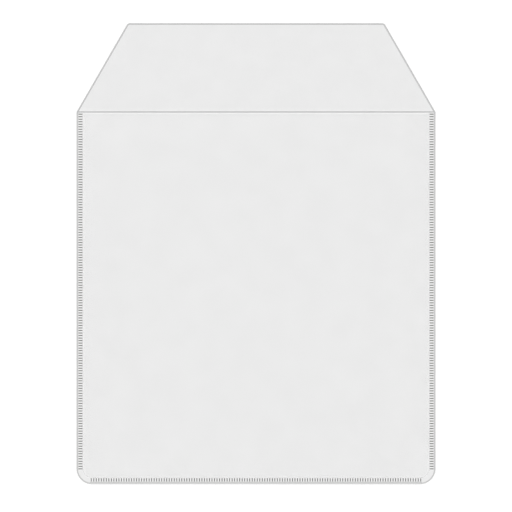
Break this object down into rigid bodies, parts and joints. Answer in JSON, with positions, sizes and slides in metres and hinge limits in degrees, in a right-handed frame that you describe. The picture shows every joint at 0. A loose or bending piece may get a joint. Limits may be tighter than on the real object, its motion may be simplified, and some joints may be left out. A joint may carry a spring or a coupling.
{
  "type": "self-adhesive disc sleeve",
  "caption": "Clear welded film pocket for a 120 mm disc, with an adhesive back under a slit paper liner and a closing flap on a scored crease.",
  "frame": {"origin": "centre of the pocket's back, on the liner's face that it lies on", "axes": "+X to the right and +Y towards the mouth and the flap, seen from the front; +Z out of the front film, away from the surface that it lies on or sticks to"},
  "size_m": [0.127, 0.163, 0.0019],
  "materials": {
    "clear_film": "soft embossed polypropylene film, half clear",
    "welded_film": "fused and knurled polypropylene film",
    "adhesive": "glossy acrylic adhesive coat",
    "liner_paper": "siliconised glassine release paper"
  },
  "bodies": {
    "pocket": {"back_film": "clear_film", "flap_crease": "clear_film", "front_panel": "clear_film", "front_shoulder_left": "clear_film", "front_shoulder_right": "clear_film", "front_shoulder_bottom": "clear_film", "weld_seam_left": "welded_film", "weld_seam_right": "welded_film", "weld_seam_bottom": "welded_film", "adhesive_coat": "adhesive"},
    "flap": {"flap_film": "clear_film"},
    "liner_wide": {"liner_wide": "liner_paper"},
    "liner_strip": {"liner_strip": "liner_paper"}
  },
  "joints": [
    {"name": "flap_fold", "type": "hinge", "parent": "pocket", "child": "flap", "pos_m": [0, 0.06585, 0.00111], "axis": [1, 0, 0], "range_deg": [0, 180], "deforming": ["flap_crease"]},
    {"name": "liner_wide_peel", "type": "hinge", "parent": "pocket", "child": "liner_wide", "pos_m": [-0.06355, 0, 0.00008], "axis": [0, 1, 0], "range_deg": [0, 180]},
    {"name": "liner_strip_peel", "type": "hinge", "parent": "pocket", "child": "liner_strip", "pos_m": [0.06355, 0, 0.00008], "axis": [0, -1, 0], "range_deg": [0, 180]}
  ]
}
